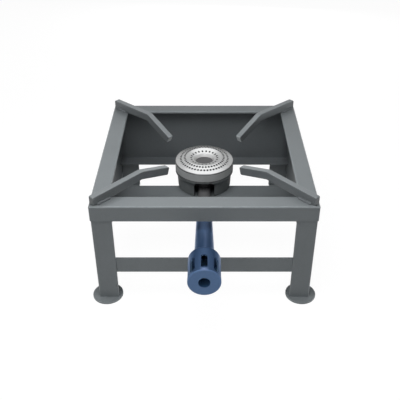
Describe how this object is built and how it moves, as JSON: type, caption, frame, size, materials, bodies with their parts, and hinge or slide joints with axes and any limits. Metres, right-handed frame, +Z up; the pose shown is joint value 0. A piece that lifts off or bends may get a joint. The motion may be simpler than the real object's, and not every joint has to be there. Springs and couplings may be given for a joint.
{
  "type": "commercial gas stove",
  "caption": "Low square single-burner gas stove: angle-iron frame with sheet wind shield, bent pan supports, ring burner with drilled cap, and a venturi mixer with gas inlet.",
  "frame": {"origin": "bottom centre of the whole stove's box, on the floor", "axes": "+Z up, -Y the front where the gas mixer sticks out, +X the right-hand side seen from the front"},
  "size_m": [0.425, 0.5354, 0.2338],
  "materials": {
    "frame_paint": "satin grey paint",
    "support_paint": "satin grey paint over bar steel",
    "panel_paint": "satin grey paint on sheet",
    "bar_paint": "matt dark grey paint",
    "cast_grey": "as cast, grey",
    "cast_dark": "as cast, dark",
    "cap_metal": "turned, bright",
    "venturi_blue": "satin blue paint",
    "brass": "turned",
    "plated_steel": "zinc plated"
  },
  "bodies": {
    "stove": {"top_rail_front": "frame_paint", "top_rail_back": "frame_paint", "top_rail_left": "frame_paint", "top_rail_right": "frame_paint", "leg_front_left": "frame_paint", "leg_front_right": "frame_paint", "leg_back_left": "frame_paint", "leg_back_right": "frame_paint", "foot_plate_front_left": "frame_paint", "foot_plate_front_right": "frame_paint", "foot_plate_back_left": "frame_paint", "foot_plate_back_right": "frame_paint", "stretcher_front": "frame_paint", "back_panel": "panel_paint", "side_panel_left": "panel_paint", "side_panel_right": "panel_paint", "burner_support_bar": "bar_paint", "pan_support_front_left": "support_paint", "pan_support_front_right": "support_paint", "pan_support_back_left": "support_paint", "pan_support_back_right": "support_paint", "burner_stand": "cast_dark", "burner_bolts": "plated_steel", "burner_body": "cast_grey", "venturi_tube": "venturi_blue", "venturi_set_screw": "plated_steel", "mixer_cup": "venturi_blue", "gas_jet": "brass"},
    "cap": {"burner_cap": "cap_metal"}
  },
  "joints": [
    {"name": "cap_lift", "type": "slide", "parent": "stove", "child": "cap", "axis": [0, 0, 1], "range_m": [0, 0.08]}
  ]
}
